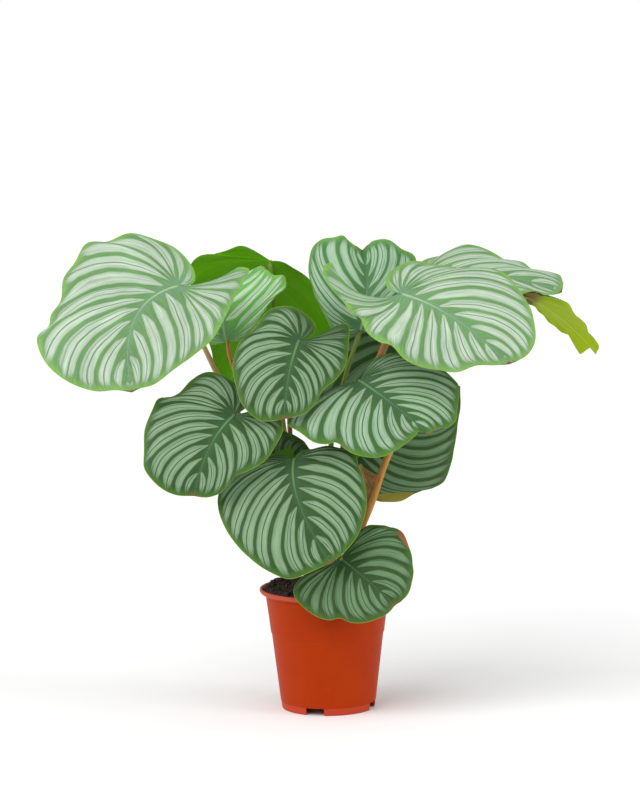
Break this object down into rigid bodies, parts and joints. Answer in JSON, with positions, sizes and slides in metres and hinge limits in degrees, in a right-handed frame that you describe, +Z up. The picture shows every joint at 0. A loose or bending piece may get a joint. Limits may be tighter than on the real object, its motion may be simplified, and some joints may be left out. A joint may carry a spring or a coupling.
{
  "type": "potted calathea",
  "caption": "Leafy house plant with large round silver-striped leaves on long stalks, growing in a tapered nursery pot.",
  "frame": {"origin": "on the pot's axis, level with the bottom of its foot ring", "axes": "+Z up along the pot's axis, -Y towards the front of the plant, +X along its wide spread to the right"},
  "size_m": [0.6819, 0.2672, 0.5897],
  "materials": {
    "striped_leaf": "satin",
    "leaf_underside": "satin",
    "stalk": "satin",
    "dry_sheath": "matte",
    "soil": "matte",
    "pot": "satin"
  },
  "bodies": {
    "root": {"leaf_far_left": "striped_leaf", "leaf_folded_left": "striped_leaf", "leaf_drooping_back": "leaf_underside", "leaf_upper_middle": "striped_leaf", "leaf_top": "striped_leaf", "leaf_upper_right": "striped_leaf", "leaf_edge_right": "striped_leaf", "leaf_far_right": "leaf_underside", "leaf_middle_right": "striped_leaf", "leaf_right_back": "striped_leaf", "leaf_middle_left": "striped_leaf", "leaf_front": "striped_leaf", "leaf_low_front": "striped_leaf", "leaf_inner": "striped_leaf", "leaf_young": "striped_leaf", "stalk_far_left": "stalk", "stalk_folded_left": "stalk", "stalk_drooping_back": "stalk", "stalk_upper_middle": "stalk", "stalk_top": "stalk", "stalk_upper_right": "stalk", "stalk_edge_right": "stalk", "stalk_far_right": "stalk", "stalk_middle_right": "stalk", "stalk_right_back": "stalk", "stalk_middle_left": "stalk", "stalk_front": "stalk", "stalk_low_front": "stalk", "stalk_inner": "stalk", "stalk_young": "stalk", "sheath": "dry_sheath", "soil": "soil", "pot": "pot"}
  },
  "joints": []
}
